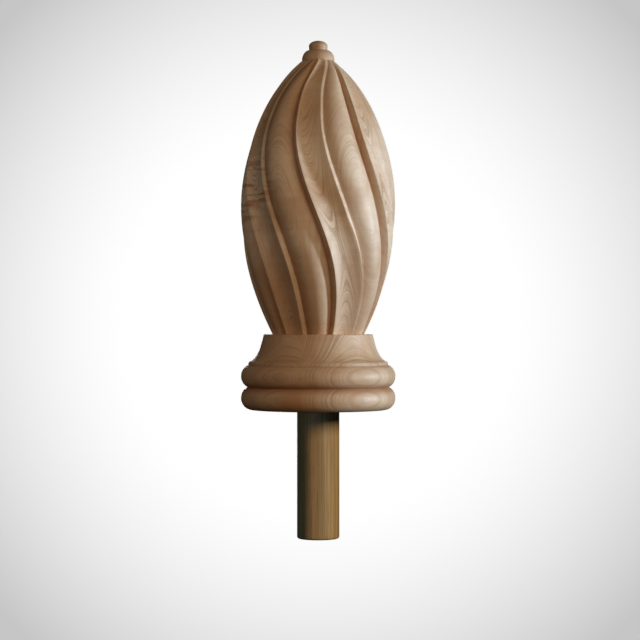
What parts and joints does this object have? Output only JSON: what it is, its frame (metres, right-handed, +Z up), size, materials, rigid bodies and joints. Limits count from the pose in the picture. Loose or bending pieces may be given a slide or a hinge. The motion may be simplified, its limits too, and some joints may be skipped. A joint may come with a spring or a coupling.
{
  "type": "newel post finial",
  "caption": "Turned wooden newel post finial: a pointed oval bulb carved with twisting reeds and flutes, a small knob on a domed cap, a moulded round base and a dowel pin.",
  "frame": {"origin": "on the axis, in the plane of the flat seat under the base, where the finial rests on the post", "axes": "+Z up along the turning axis, from the post to the knob; -Y is the front that the picture shows; +X is to the right of it"},
  "size_m": [0.0928, 0.0928, 0.2988],
  "materials": {
    "maple": "bare, finely sanded maple with a soft sheen",
    "pin_wood": "bare, planed yellow-brown hardwood with dark straight grain"
  },
  "bodies": {
    "root": {"carved_finial": "maple", "dowel_pin": "pin_wood"}
  },
  "joints": []
}
